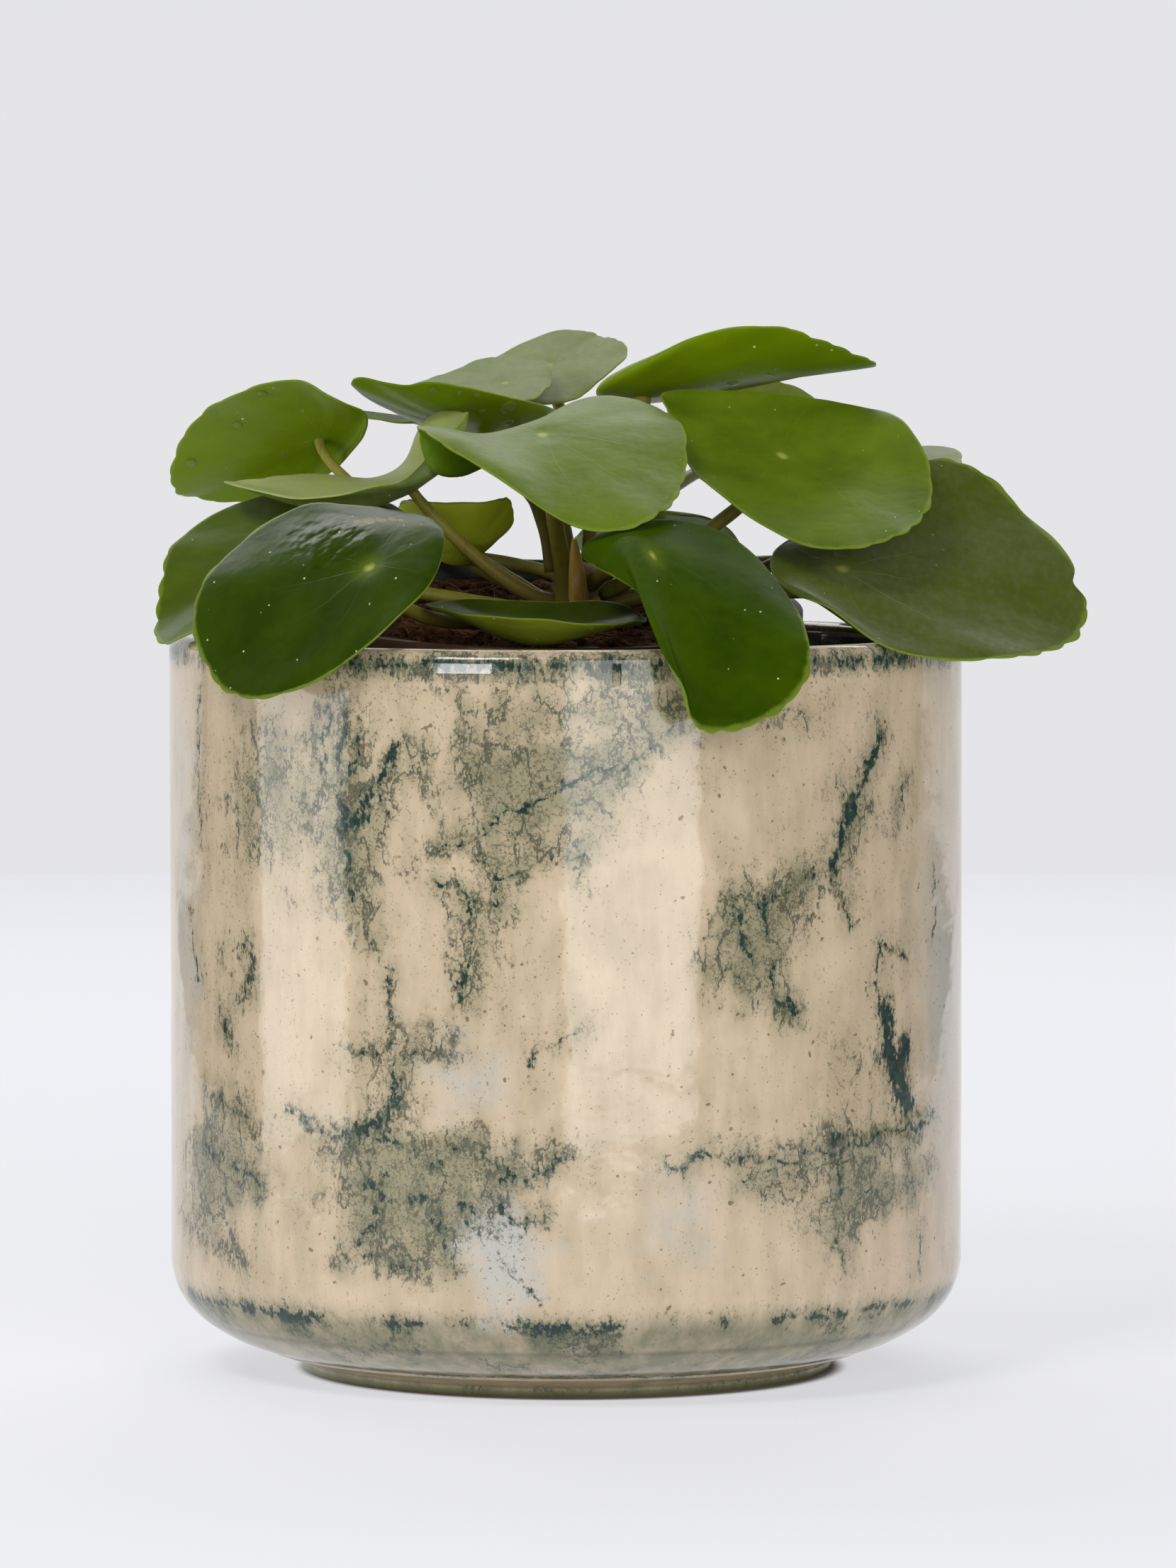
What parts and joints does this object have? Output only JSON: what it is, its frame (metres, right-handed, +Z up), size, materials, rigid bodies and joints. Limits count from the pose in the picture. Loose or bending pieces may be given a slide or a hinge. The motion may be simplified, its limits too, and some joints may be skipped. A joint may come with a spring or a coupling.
{
  "type": "potted pilea plant",
  "caption": "House plant with round, waved leaves on long leaf stalks, in a plastic nursery pot inside a speckled cylindrical glazed ceramic pot.",
  "frame": {"origin": "centre of the ceramic pot's flat base", "axes": "+Z up along the ceramic pot's axis, -Y towards the side that the picture shows"},
  "size_m": [0.176, 0.191, 0.1979],
  "materials": {
    "glaze": "gloss",
    "nursery_plastic": "satin",
    "soil": "matte",
    "stem": "matte",
    "leaf": "satin",
    "petiole": "satin"
  },
  "bodies": {
    "root": {"ceramic_pot": "glaze", "nursery_pot": "nursery_plastic", "soil": "soil", "main_stem": "stem", "leaf_01_blade": "leaf", "leaf_01_petiole": "petiole", "leaf_02_blade": "leaf", "leaf_02_petiole": "petiole", "leaf_03_blade": "leaf", "leaf_03_petiole": "petiole", "leaf_04_blade": "leaf", "leaf_04_petiole": "petiole", "leaf_05_blade": "leaf", "leaf_05_petiole": "petiole", "leaf_06_blade": "leaf", "leaf_06_petiole": "petiole", "leaf_07_blade": "leaf", "leaf_07_petiole": "petiole", "leaf_08_blade": "leaf", "leaf_08_petiole": "petiole", "leaf_09_blade": "leaf", "leaf_09_petiole": "petiole", "leaf_10_blade": "leaf", "leaf_10_petiole": "petiole", "leaf_11_blade": "leaf", "leaf_11_petiole": "petiole", "leaf_12_blade": "leaf", "leaf_12_petiole": "petiole", "leaf_13_blade": "leaf", "leaf_13_petiole": "petiole", "leaf_14_blade": "leaf", "leaf_14_petiole": "petiole", "leaf_15_blade": "leaf", "leaf_15_petiole": "petiole", "leaf_16_blade": "leaf", "leaf_16_petiole": "petiole", "leaf_17_blade": "leaf", "leaf_17_petiole": "petiole", "leaf_18_blade": "leaf", "leaf_18_petiole": "petiole", "leaf_19_blade": "leaf", "leaf_19_petiole": "petiole", "leaf_20_blade": "leaf", "leaf_20_petiole": "petiole"}
  },
  "joints": []
}
